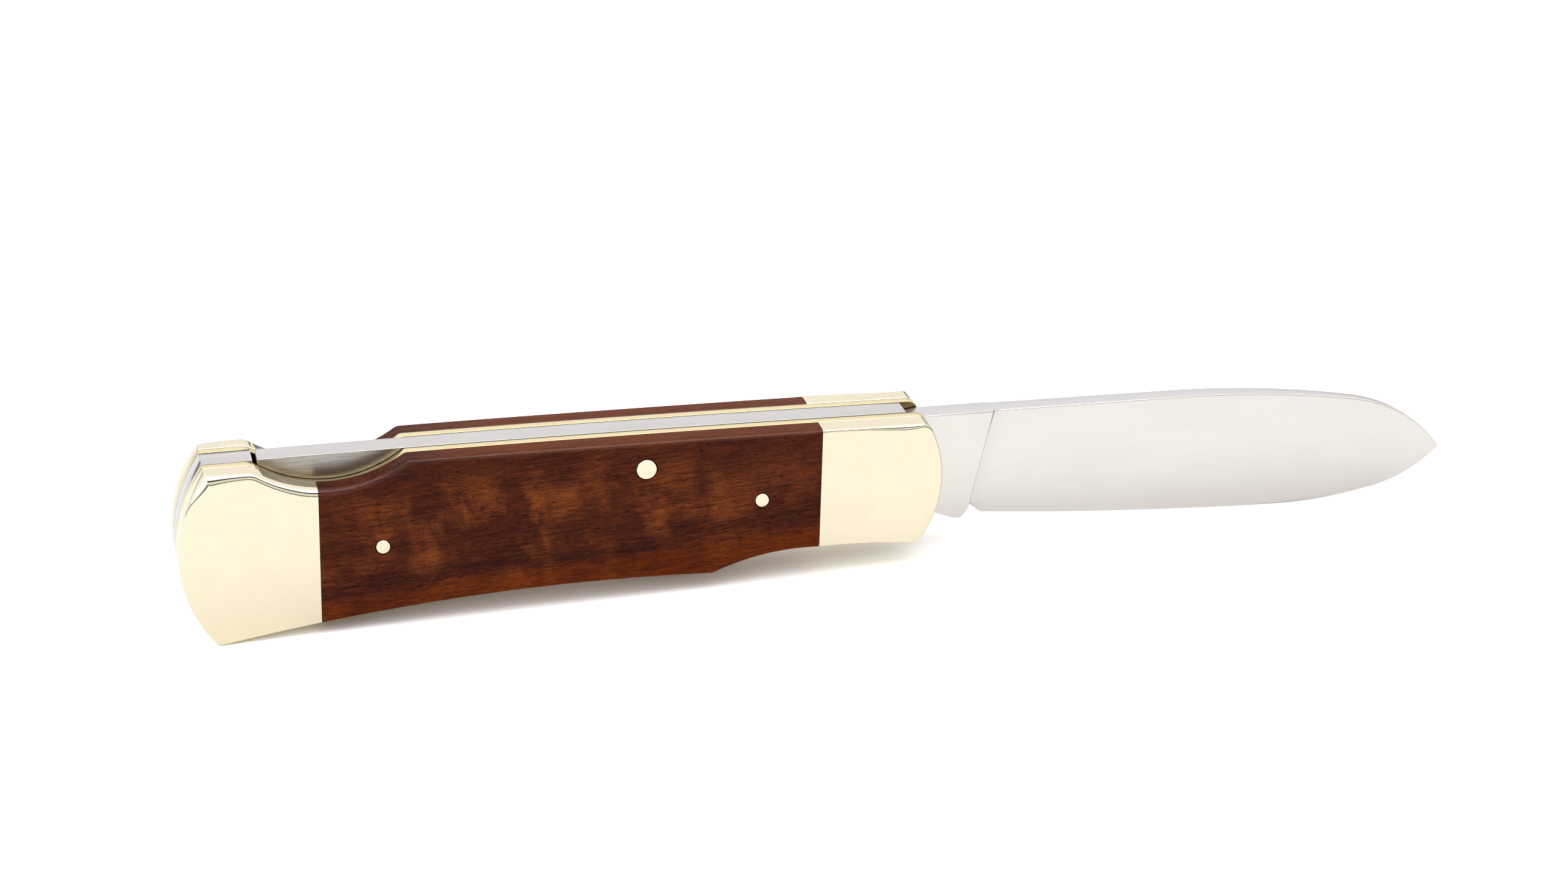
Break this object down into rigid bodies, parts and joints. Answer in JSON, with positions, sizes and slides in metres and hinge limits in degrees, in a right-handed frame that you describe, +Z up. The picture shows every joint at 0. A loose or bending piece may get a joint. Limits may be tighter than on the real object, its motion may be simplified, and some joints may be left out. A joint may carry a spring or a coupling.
{
  "type": "folding pocket knife",
  "caption": "Open lock-back folding knife with a drop-point blade, wood scales, metal bolsters and brass liners; the blade folds in and a rocker bar in the spine is pressed at a thumb notch.",
  "frame": {"origin": "on the table, under the middle of the open knife's length and thickness", "axes": "+X along the knife from butt to point, +Y across it from its right side to its left side, +Z up, with the knife standing on the butt's lower corner and the blade's belly"},
  "size_m": [0.1872, 0.0126, 0.0257],
  "materials": {
    "blade_steel": "satin, brushed along the blade",
    "bar_steel": "satin, brushed lengthwise",
    "spring_steel": "ground spring steel",
    "liner_brass": "polished brass",
    "nickel_silver": "polished nickel silver, a copper alloy with a pale warm colour",
    "figured_wood": "dense dark red-brown hardwood, oiled and buffed to a gloss",
    "washer_bronze": "phosphor bronze shim"
  },
  "bodies": {
    "handle": {"left_liner": "liner_brass", "right_liner": "liner_brass", "left_rear_bolster": "nickel_silver", "right_rear_bolster": "nickel_silver", "left_front_bolster": "nickel_silver", "right_front_bolster": "nickel_silver", "left_scale": "figured_wood", "right_scale": "figured_wood", "back_spacer": "bar_steel", "lock_spring": "spring_steel", "left_pivot_washer": "washer_bronze", "right_pivot_washer": "washer_bronze", "pivot_pin": "nickel_silver", "lock_bar_pin": "nickel_silver", "upper_spacer_rivet": "nickel_silver", "lower_spacer_rivet": "nickel_silver", "left_rear_scale_pin": "nickel_silver", "left_front_scale_pin": "nickel_silver", "right_rear_scale_pin": "nickel_silver", "right_front_scale_pin": "nickel_silver", "left_upper_bolster_rivet": "nickel_silver", "left_lower_bolster_rivet": "nickel_silver", "right_upper_bolster_rivet": "nickel_silver", "right_lower_bolster_rivet": "nickel_silver"},
    "blade": {"blade": "blade_steel"},
    "lock_bar": {"lock_bar": "bar_steel"}
  },
  "joints": [
    {"name": "blade_pivot", "type": "hinge", "parent": "handle", "child": "blade", "pos_m": [0.00637, 0, 0.01106], "axis": [0, 1, 0], "range_deg": [0, 174]},
    {"name": "lock_bar_rocker", "type": "hinge", "parent": "handle", "child": "lock_bar", "pos_m": [-0.02835, 0, 0.01978], "axis": [0, -1, 0], "range_deg": [0, 4], "stiffness_Nm_per_rad": 1, "springref_deg": -11.46, "deforming": ["lock_spring"]}
  ]
}
